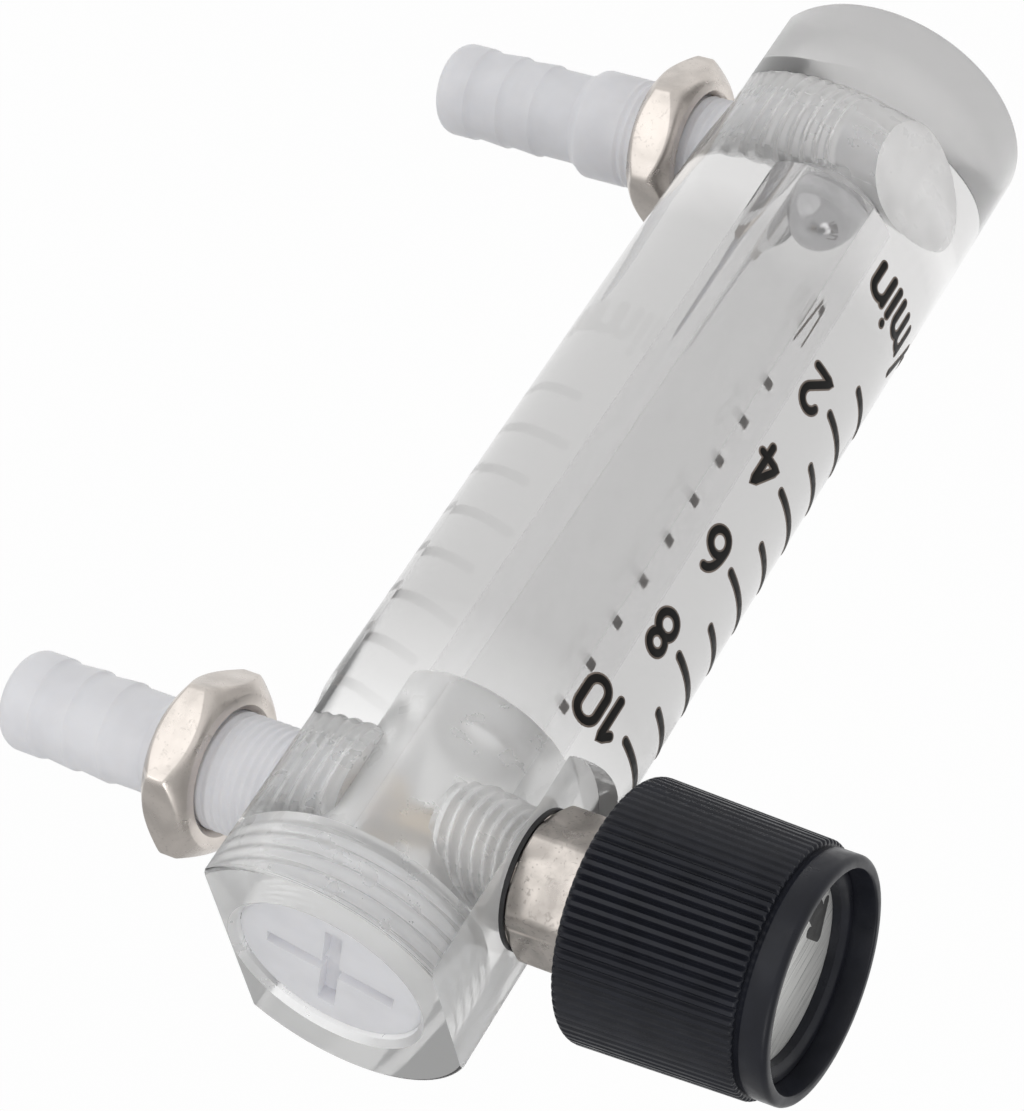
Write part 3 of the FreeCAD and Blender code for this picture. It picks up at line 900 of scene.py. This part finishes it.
class Hexagon:
    """Rows of a hexagonal piece whose ends are turned to a cone, with worn edges."""

    def __init__(self, flats, start, face, slope, worn):
        self.flats = flats
        self.start = start
        self.face = face
        self.slope = slope
        self.worn = worn

    def side(self, angle):
        return hexagon_radius(angle, self.start, self.flats)

    def end(self, y, inwards):
        """Rules for one end at height y, from its face to the sides. inwards is the way in."""
        worn = self.worn
        face = (y, self.face - worn)
        rim = (y + inwards * 0.25 * worn, self.face + 0.05 * worn)

        def at(radius, further):
            return y + inwards * (max(radius - self.face, 0.0) * self.slope + further)

        def cone(angle):
            radius = max(self.side(angle) - worn, self.face + 0.2 * worn)
            return (at(radius, 0.0), radius)

        def edge(angle):
            radius = self.side(angle)
            return (at(radius, 0.3 * worn), radius - 0.25 * worn)

        def side(angle):
            radius = self.side(angle)
            return (at(radius, 1.1 * worn), radius)

        return [lambda angle: face, lambda angle: rim, cone, edge, side]


class FLOWMETER_OT_lock_nuts(Operator):
    """Make the two hexagon lock nuts with their chamfers and threads"""

    bl_idname = "flowmeter.lock_nuts"
    bl_label = "Lock nuts"

    def execute(self, context):
        thread = context.scene.flowmeter_thread
        size = context.scene.flowmeter_nut
        for name, node, body, low, high in (
            ("lower_lock_nut", "inlet_nut", "inlet_lock", INLET_NUT_LOW, INLET_NUT_HIGH),
            ("upper_lock_nut", "outlet_nut", "outlet_lock", OUTLET_NUT_LOW, OUTLET_NUT_HIGH),
        ):
            y0, y1 = low.y, high.y
            flats, start = hexagon_of(node, y0, y1)
            bore = STUB_R + 0.05 * MM
            lead = 0.5 * MM
            face = flats / 2.0 - size.face_step
            shape = Hexagon(flats, start, face, math.tan(size.chamfer), size.worn)
            nut = Turned(hexagon_angles(math.degrees(start)))
            nut.ring(y0 + lead, bore)
            nut.thread(y0 + lead, y1 - lead, bore, 0.35 * MM, thread.pitch)
            nut.ring(y1, bore + lead)
            for rule in shape.end(y1, -1.0):
                nut.row(rule)
            for rule in reversed(shape.end(y0, 1.0)):
                nut.row(rule)
            nut.ring(y0, bore + lead)
            piece = nut.build(name, "Y", (0.0, 0.0, (low.z + high.z) / 2.0), closed=True)
            smooth(piece, HEXAGON_SHARP)
            dress(piece, "nickel_plate", body, node)
        return {"FINISHED"}


class FLOWMETER_OT_valve_body(Operator):
    """Make the valve's hexagon bonnet, and finish gasket, stem, seal and seat"""

    bl_idname = "flowmeter.valve_body"
    bl_label = "Valve body"

    def execute(self, context):
        thread = context.scene.flowmeter_thread
        hex_start = GASKET_LOW.y - FACE_GAP
        neck_end = BONNET_LOW.y
        hex_end = KNOB_HIGH.y + 0.45 * MM
        flats, start = hexagon_of("valve_bonnet", hex_end, hex_start)
        shank = STUB_R - 0.45 * MM
        neck = shank - 0.3 * MM
        shank_in = BONNET_HIGH.y
        bevel = 0.5 * MM
        stem_bore = 2.6 * MM
        neck_bore = 2.05 * MM
        wall = 1.6 * MM
        slope = 0.5 * MM / (flats / math.sqrt(3.0) - flats / 2.0)
        shape = Hexagon(flats, start, flats / 2.0, slope, 0.1 * MM)
        piece = Turned(hexagon_angles(math.degrees(start)))
        piece.rings(
            (neck_end, neck_bore), (neck_end, neck - bevel), (neck_end + bevel, neck), (hex_end, neck),
        )
        for rule in shape.end(hex_end, 1.0):
            piece.row(rule)
        for rule in reversed(shape.end(hex_start, -1.0)):
            piece.row(rule)
        piece.ring(hex_start, shank)
        piece.thread(hex_start + 0.2 * MM, shank_in - bevel, shank, -0.42 * MM, thread.valve_pitch)
        piece.rings(
            (shank_in, shank - bevel), (shank_in, stem_bore),
            (neck_end + wall, stem_bore), (neck_end + wall, neck_bore),
        )
        obj = piece.build("valve_hexagon", "Y", (0.0, 0.0, VALVE_Z), closed=True)
        smooth(obj, HEXAGON_SHARP)
        dress(obj, "nickel_plate", "frame", "valve_bonnet")
        for node in ("bonnet_gasket", "stem_seal"):
            dress_node(node, finish_of("seal_rubber"))
        for node in ("valve_stem", "valve_seat"):
            dress_node(node, finish_of("brass"))
        return {"FINISHED"}


def rib_drop(turns):
    """Share of the rib depth that is cut away at this place, in ribs."""
    place = (turns - 0.1) % 1.0
    off = min(place, 1.0 - place)
    if off > 0.3:
        return 0.0
    return math.cos(off / 0.3 * math.pi / 2.0) ** 1.3


class FLOWMETER_OT_knob(Operator):
    """Make the ribbed knob with its front ring, recess and skirt"""

    bl_idname = "flowmeter.knob"
    bl_label = "Knob"

    def execute(self, context):
        size = context.scene.flowmeter_knob
        radius = KNOB_HIGH.x
        back = KNOB_HIGH.y
        front = KNOB_LOW.y
        rib_end = front + size.lip
        end_r = radius - size.taper
        lip_r = end_r - size.lip_step
        lip_in = lip_r - size.lip_wall
        skirt = radius - size.wall
        web = rib_end + 2.9 * MM
        hub = 4.0 * MM
        hub_start = BONNET_LOW.y - 1.2 * MM
        disc_y = DISC_HIGH.y + FACE_GAP
        disc_hole = DISC_HIGH.x + 2.0 * FACE_GAP
        ledge = front + 1.9 * MM
        stem_end = web + 0.4 * MM
        stem_r = 2.01 * MM
        screw_r = 1.4 * MM
        counter = 2.9 * MM
        seat = stem_end - 0.9 * MM
        offsets = (0.0, 0.1, 0.2, 0.3, 0.4, 0.6, 0.8, 0.9)
        angles = [TURN * (i + o) / size.ribs for i in range(size.ribs) for o in offsets] + [TURN]
        knob = Turned(angles)

        def ribbed(y, r, share):
            knob.row(lambda a: (y, r - share * size.rib_depth * rib_drop(a / TURN * size.ribs)))

        knob.rings((back, skirt), (back, skirt + 0.15 * MM))
        for step in range(7):
            a = math.radians(15.0 * step)
            y = back - size.back_round * (1.0 - math.cos(a))
            r = radius - size.back_round * (1.0 - math.sin(a))
            ribbed(y, r, min(1.0, step / 4.0))
        ribs_in = back - size.back_round
        ribs_out = rib_end + 0.25 * MM
        reach = ribs_out - back + size.back_round
        for share in (0.25, 0.5, 0.75):
            ribbed(ribs_in + reach * share, radius - size.taper * share, 1.0)
        ribbed(ribs_out, end_r, 1.0)
        ribbed(rib_end + 0.08 * MM, end_r - 0.08 * MM, 1.0)
        ribbed(rib_end, end_r - 0.22 * MM, 0.5)
        groove = lip_r - 0.15 * MM
        outer = 0.5 * MM
        inner = 0.2 * MM
        knob.rings(
            (rib_end, groove), (rib_end - 0.3 * MM, groove),
            (rib_end - 0.42 * MM, lip_r - 0.06 * MM), (rib_end - 0.52 * MM, lip_r),
        )
        knob.arc(front + outer, lip_r - outer, outer, 0.0, -90.0, 6)
        knob.arc(front + inner, lip_in + inner, inner, -90.0, -170.0, 4)
        knob.rings(
            (ledge + 0.1 * MM, lip_in - 0.15 * MM), (ledge, lip_in - 0.25 * MM),
            (ledge, DISC_HIGH.x + 0.5 * MM), (ledge + 0.4 * MM, disc_hole), (disc_y, disc_hole),
            (disc_y, counter), (seat, counter), (seat, screw_r), (stem_end, screw_r), (stem_end, stem_r),
            (hub_start, stem_r), (hub_start, hub), (web - 0.2 * MM, hub), (web, hub + 0.2 * MM),
            (web, skirt - 0.3 * MM), (web + 0.3 * MM, skirt),
        )
        obj = knob.build("ribbed_knob", "Y", (0.0, 0.0, VALVE_Z), closed=True)
        smooth(obj, 40.0)
        dress(obj, "black_plastic", "valve", "knob")
        dress_node("knob_screw", finish_of("nickel_plate"))
        return {"FINISHED"}


class FLOWMETER_OT_knob_disc(Operator):
    """Finish the brushed disc in the knob's recess and print its arrow and line"""

    bl_idname = "flowmeter.knob_disc"
    bl_label = "Knob disc"

    def execute(self, context):
        dress_node("knob_disc", finish_of("brushed_disc"))
        colours = context.scene.flowmeter_colours
        middle = 5.0 * MM
        line_r = 5.2 * MM
        band = 2.0 * MM
        head_line = 0.8 * MM
        thin = 0.3 * MM
        raised = 0.02 * MM
        raised_tip = 0.024 * MM
        arc = arc_points(0.0, 0.0, middle, middle, -22.0, -92.0)
        tip = arc_points(0.0, 0.0, middle, middle, -112.0, -112.0, 1)[0]
        head = []
        for reach in (1.5, 0.5, -0.5, -1.5):
            far = middle + reach * MM
            head.append([arc_points(0.0, 0.0, far, far, -88.0, -88.0, 1)[0], tip])
        dark = printed_ink("disc_print", tuple(colours.disc_print))

        def on_disc(u, v, height):
            return (u, DISC_LOW.y - height, VALVE_Z + v)

        print_piece("disc_arrow", [arc], band, raised, on_disc, "valve", dark)
        print_piece("disc_arrow_tip", head, head_line, raised_tip, on_disc, "valve", dark)
        line = arc_points(0.0, 0.0, line_r, line_r, 104.0, 126.0)
        print_piece("disc_line", [line], thin, raised, on_disc, "valve", dark)
        return {"FINISHED"}


# Print

def arc_points(cx, cy, rx, ry, start, end, steps=14):
    """Points along an arc in degrees, anticlockwise from the right."""
    return [
        (cx + rx * math.cos(math.radians(start + (end - start) * i / steps)),
         cy + ry * math.sin(math.radians(start + (end - start) * i / steps)))
        for i in range(steps + 1)
    ]


def glyph(sign):
    """Centre lines of a number or letter, in a cell one unit high."""
    if sign == "0":
        high = arc_points(0.28, 0.72, 0.28, 0.28, 0.0, 180.0)
        low = arc_points(0.28, 0.28, 0.28, 0.28, 180.0, 360.0)
        return 0.56, [high + low + high[:1]]
    if sign == "1":
        return 0.3, [[(0.0, 0.74), (0.24, 1.0), (0.24, 0.0)]]
    if sign == "2":
        return 0.56, [arc_points(0.28, 0.72, 0.28, 0.28, 165.0, -38.0) + [(0.0, 0.0), (0.58, 0.0)]]
    if sign == "4":
        return 0.6, [[(0.42, 0.0), (0.42, 1.0), (0.0, 0.28), (0.6, 0.28)]]
    if sign == "6":
        back = arc_points(0.36, 0.36, 0.36, 0.64, 95.0, 180.0, 10)
        ring = arc_points(0.28, 0.29, 0.28, 0.29, 180.0, 540.0, 28)
        return 0.56, [back + ring]
    if sign == "8":
        low = arc_points(0.28, 0.27, 0.28, 0.27, 90.0, 450.0, 28)
        high = arc_points(0.28, 0.76, 0.24, 0.23, -90.0, 270.0, 28)
        return 0.56, [low, high]
    if sign == "L":
        return 0.5, [[(0.0, 1.0), (0.0, 0.0), (0.5, 0.0)]]
    if sign == "/":
        return 0.45, [[(0.0, -0.1), (0.45, 1.08)]]
    if sign == "m":
        arch = arc_points(0.21, 0.5, 0.21, 0.22, 180.0, 0.0) + [(0.42, 0.0)]
        next_arch = arc_points(0.63, 0.5, 0.21, 0.22, 180.0, 0.0) + [(0.84, 0.0)]
        return 0.84, [[(0.0, 0.0), (0.0, 0.72)], arch, next_arch]
    if sign == "i":
        return 0.0, [[(0.0, 0.0), (0.0, 0.72)], [(0.0, 0.98), (0.0, 1.0)]]
    if sign == "n":
        arch = arc_points(0.25, 0.47, 0.25, 0.25, 180.0, 0.0) + [(0.5, 0.0)]
        return 0.5, [[(0.0, 0.0), (0.0, 0.72)], arch]
    raise ValueError("no outline for " + sign)


def written(signs, left, foot, height, gap):
    """Centre lines of a row of signs."""
    lines = []
    for sign in signs:
        width, strokes = glyph(sign)
        lines += [[(left + x * height, foot + y * height) for x, y in line] for line in strokes]
        left += width * height + gap
    return lines


def resample(line, step):
    """The line with extra points, so that it can follow the round bar."""
    result = [line[0]]
    for a, b in zip(line, line[1:]):
        length = math.hypot(b[0] - a[0], b[1] - a[1])
        count = max(1, int(math.ceil(length / step)))
        for i in range(1, count + 1):
            result.append((a[0] + (b[0] - a[0]) * i / count, a[1] + (b[1] - a[1]) * i / count))
    return result


def stroke_profile(half, raised):
    """Half section of the ink: (offset from the centre line, height)."""
    foot = half + 0.06 * MM
    return ((foot, -0.02 * MM), (foot, 0.0), (half, raised * 0.75), (half - 0.08 * MM, raised))


def join_rows(bm, rows):
    """Faces between rows of points that each close on themselves."""
    total = len(rows[0])
    for a, b in zip(rows, rows[1:]):
        for i in range(total):
            j = (i + 1) % total
            bm.faces.new((a[i], a[j], b[j], b[i]))


def add_stroke(bm, line, half, raised, surface):
    """One closed raised stroke with round ends. surface maps (u, v, height) to a place."""
    line = resample(line, 0.35 * MM)
    looped = math.hypot(line[0][0] - line[-1][0], line[0][1] - line[-1][1]) < 0.05 * MM
    count = len(line)
    sides = []
    for i, (u, v) in enumerate(line):
        before = line[i - 1] if i else (line[-2] if looped else line[0])
        after = line[(i + 1) % count] if i < count - 1 else (line[1] if looped else line[-1])
        du, dv = after[0] - before[0], after[1] - before[1]
        size = math.hypot(du, dv)
        sides.append((u, v, -dv / size, du / size))
    profile = stroke_profile(half, raised)

    def row(edge, off, height):
        return [bm.verts.new(surface(u + nu * off, v + nv * off, height)) for u, v, nu, nv in edge]

    if looped:
        rows = [row(sides[:-1], off, height) for off, height in profile]
        rows += [row(sides[:-1], -off, height) for off, height in reversed(profile)]
        join_rows(bm, rows + rows[:1])
        return
    cap = 7
    outline = []
    for part in (sides, [(u, v, -nu, -nv) for u, v, nu, nv in reversed(sides)]):
        outline += part
        u, v, nu, nv = part[-1]
        for k in range(1, cap + 1):
            a = math.pi * k / (cap + 1.0)
            cos, sin = math.cos(a), math.sin(a)
            outline.append((u, v, nu * cos + nv * sin, nv * cos - nu * sin))
    rows = [row(outline, off, height) for off, height in profile]
    join_rows(bm, rows)
    for ring in (rows[0], rows[-1]):
        left = ring[:count]
        tip = ring[count:count + cap]
        right = ring[count + cap:2 * count + cap][::-1]
        tail = ring[2 * count + cap:]
        for i in range(count - 1):
            bm.faces.new((left[i], left[i + 1], right[i + 1], right[i]))
        bm.faces.new([left[-1]] + tip + [right[-1]])
        bm.faces.new([right[0]] + tail + [left[0]])


def on_bar(u, v, height):
    """Place on the bar's skin: u round it from the front towards +X, v up."""
    angle = u / BODY_R
    radius = BODY_R + height
    return (radius * math.sin(angle), -radius * math.cos(angle), v)


def print_piece(name, lines, stroke, raised, surface, body, material):
    bm = bmesh.new()
    for k, line in enumerate(lines):
        add_stroke(bm, line, stroke / 2.0, raised + 0.0015 * MM * k, surface)
    obj = finish_mesh(bm, name)
    smooth(obj, 50.0)
    obj.data.materials.append(material)
    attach(obj, body)
    return obj


class FLOWMETER_OT_scale_print(Operator):
    """Print the ten lines, their numbers and the unit on the bar"""

    bl_idname = "flowmeter.scale_print"
    bl_label = "Scale print"

    def execute(self, context):
        size = context.scene.flowmeter_print
        colours = context.scene.flowmeter_colours
        ink = printed_ink("printed_ink", tuple(colours.ink))
        # Brown of the painted shadow round the ink.
        edge = printed_ink("ink_edge", tuple(colours.ink_edge))

        def printed(name, lines):
            # Each stroke is printed twice: in ink, and wider in brown as a painted shadow of the ink.
            shadow_width = size.stroke + 2.0 * size.edge
            print_piece(name, lines, size.stroke, size.raised, on_bar, "frame", ink)
            print_piece(name + "_edge", lines, shadow_width, size.raised * 0.5, on_bar, "frame", edge)

        step = (size.last_tick - size.first_tick) / 9.0
        half = size.stroke / 2.0
        inner = size.digit - size.stroke
        for i in range(10):
            z = size.first_tick + step * i
            right = size.long_end if i % 2 else size.short_end
            printed("scale_line_%02d" % (i + 1), [[(size.line_start, z), (right - half, z)]])
        for value in (2, 4, 6, 8, 10):
            foot = size.first_tick + step * (value - 1) - size.number_drop + half
            left = size.number_start + half
            printed("number_%d" % value, written(str(value), left, foot, inner, size.number_gap))
        foot = size.unit_foot + half
        printed("unit_of_flow", written("L/min", size.unit_start, foot, inner, size.unit_gap))
        return {"FINISHED"}


class FLOWMETER_OT_stage(Operator):
    """Make the floor, the soft lamps, the world and the camera"""

    bl_idname = "flowmeter.stage"
    bl_label = "Stage"

    def execute(self, context):
        scene = context.scene
        size = scene.flowmeter_stage
        colours = scene.flowmeter_colours
        scene.view_settings.view_transform = "Standard"
        bm = bmesh.new()
        bmesh.ops.create_grid(bm, x_segments=8, y_segments=8, size=1.5)
        mesh = bpy.data.meshes.new("floor")
        bm.to_mesh(mesh)
        bm.free()
        mesh.transform(Matrix.Translation((0.0, 0.0, -size.floor_gap)))
        floor = bpy.data.objects.new("floor", mesh)
        scene.collection.objects.link(floor)
        mesh.materials.append(stage_finish(tuple(colours.floor), size.floor_glow))
        world = bpy.data.worlds.new("studio")
        scene.world = world
        world.use_nodes = True
        tree = world.node_tree
        tree.nodes.clear()
        out = tree.nodes.new("ShaderNodeOutputWorld")
        light = tree.nodes.new("ShaderNodeBackground")
        light.inputs["Strength"].default_value = size.world
        seen = tree.nodes.new("ShaderNodeBackground")
        seen.inputs["Strength"].default_value = 1.0
        both = tree.nodes.new("ShaderNodeMixShader")
        tree.links.new(seen_share(tree), both.inputs["Fac"])
        tree.links.new(light.outputs["Background"], both.inputs[1])
        tree.links.new(seen.outputs["Background"], both.inputs[2])
        tree.links.new(both.outputs["Shader"], out.inputs["Surface"])
        tree.links.new(mirrored_side(tree, size.dark_side), seen.inputs["Strength"])
        for node in (light, seen):
            node.inputs["Color"].default_value = (1.0, 1.0, 1.0, 1.0)
        area_lamp("key_lamp", size.key_place, size.key_size, size.key)
        area_lamp("top_lamp", size.top_place, size.top_size, size.top)
        camera = bpy.data.cameras.new("camera")
        camera.sensor_width = 36.0
        camera.sensor_fit = "HORIZONTAL"
        camera.lens = size.lens
        camera.shift_x, camera.shift_y = size.shift
        camera.clip_start = 0.01
        holder = bpy.data.objects.new("camera", camera)
        scene.collection.objects.link(holder)
        back = Vector((
            math.sin(size.azimuth) * math.cos(size.elevation),
            -math.cos(size.azimuth) * math.cos(size.elevation),
            math.sin(size.elevation),
        ))
        level = Vector((0.0, 0.0, 1.0)).cross(back).normalized()
        upright = back.cross(level)
        up = upright * math.cos(size.roll) + level * math.sin(size.roll)
        right = up.cross(back)
        turn = Matrix((right, up, back)).transposed().to_4x4()
        holder.matrix_world = Matrix.Translation(Vector(size.aim) + back * size.distance) @ turn
        scene.camera = holder
        return {"FINISHED"}


def worked_out(tree, operation, first, second):
    """Result of a sum on two numbers or sockets."""
    node = tree.nodes.new("ShaderNodeMath")
    node.operation = operation
    for socket, value in zip(node.inputs, (first, second)):
        if isinstance(value, float):
            socket.default_value = value
        else:
            tree.links.new(value, socket)
    return node.outputs["Value"]


def seen_share(tree):
    """1 for rays that come from the camera, a mirror or clear plastic."""
    path = tree.nodes.new("ShaderNodeLightPath")
    total = path.outputs["Is Camera Ray"]
    for name in ("Is Glossy Ray", "Is Transmission Ray"):
        total = worked_out(tree, "ADD", total, path.outputs[name])
        total.node.use_clamp = True
    return total


def mirrored_side(tree, dark):
    """White all round, with a darker side for what metal mirrors, like a wall away from the lamps."""
    path = tree.nodes.new("ShaderNodeLightPath")
    place = tree.nodes.new("ShaderNodeTexCoord")
    split = tree.nodes.new("ShaderNodeSeparateXYZ")
    side = tree.nodes.new("ShaderNodeMapRange")
    for key, value in (("From Min", -0.6), ("From Max", 0.3), ("To Min", dark), ("To Max", 1.0)):
        side.inputs[key].default_value = value
    tree.links.new(place.outputs["Generated"], split.inputs["Vector"])
    tree.links.new(split.outputs["X"], side.inputs["Value"])
    glossy, clear = path.outputs["Is Glossy Ray"], path.outputs["Is Transmission Ray"]
    mirrored = worked_out(tree, "SUBTRACT", glossy, clear)
    other = worked_out(tree, "SUBTRACT", 1.0, mirrored)
    return worked_out(tree, "MAXIMUM", side.outputs["Result"], other)


def stage_finish(colour, white):
    """Pale floor that is seen white and still takes a soft shadow."""
    material = bpy.data.materials.new("pale_floor")
    material.use_nodes = True
    tree = material.node_tree
    tree.nodes.clear()
    out = tree.nodes.new("ShaderNodeOutputMaterial")
    plain = tree.nodes.new("ShaderNodeBsdfDiffuse")
    plain.inputs["Color"].default_value = (*colour, 1.0)
    glow = tree.nodes.new("ShaderNodeEmission")
    glow.inputs["Strength"].default_value = 1.0
    both = tree.nodes.new("ShaderNodeMixShader")
    tree.links.new(worked_out(tree, "MULTIPLY", seen_share(tree), white), both.inputs["Fac"])
    tree.links.new(plain.outputs["BSDF"], both.inputs[1])
    tree.links.new(glow.outputs["Emission"], both.inputs[2])
    tree.links.new(both.outputs["Shader"], out.inputs["Surface"])
    return material


def area_lamp(name, place, size, power):
    lamp = bpy.data.lights.new(name, "AREA")
    lamp.shape = "DISK"
    lamp.size = size
    lamp.energy = power
    holder = bpy.data.objects.new(name, lamp)
    holder.location = place
    away = Vector(place) - Vector((0.0, 0.0, BODY_L / 2.0))
    holder.rotation_euler = away.to_track_quat("Z", "Y").to_euler()
    bpy.context.scene.collection.objects.link(holder)
    return holder


OPERATORS = (
    FLOWMETER_OT_clear_bar,
    FLOWMETER_OT_end_plug,
    FLOWMETER_OT_float,
    FLOWMETER_OT_hose_fittings,
    FLOWMETER_OT_lock_nuts,
    FLOWMETER_OT_valve_body,
    FLOWMETER_OT_knob,
    FLOWMETER_OT_knob_disc,
    FLOWMETER_OT_scale_print,
    FLOWMETER_OT_stage,
)


class FLOWMETER_PT_panel(Panel):
    """Sizes, colours and steps of the flowmeter"""

    bl_idname = "FLOWMETER_PT_panel"
    bl_label = "Flowmeter"
    bl_space_type = "VIEW_3D"
    bl_region_type = "UI"
    bl_category = "Flowmeter"

    def draw(self, context):
        for name, group in GROUPS.items():
            box = self.layout.box()
            box.label(text=name.capitalize())
            for prop in group.__annotations__:
                box.prop(getattr(context.scene, "flowmeter_" + name), prop)
        for operator in OPERATORS:
            self.layout.operator(operator.bl_idname)


def register():
    for cls in (*GROUPS.values(), *OPERATORS, FLOWMETER_PT_panel):
        bpy.utils.register_class(cls)
    for name, group in GROUPS.items():
        setattr(bpy.types.Scene, "flowmeter_" + name, PointerProperty(type=group))


def unregister():
    for name in GROUPS:
        delattr(bpy.types.Scene, "flowmeter_" + name)
    for cls in reversed((*GROUPS.values(), *OPERATORS, FLOWMETER_PT_panel)):
        bpy.utils.unregister_class(cls)


def main():
    register()
    for operator in OPERATORS:
        group, name = operator.bl_idname.split(".")
        getattr(getattr(bpy.ops, group), name)()


if __name__ == "__main__":
    main()
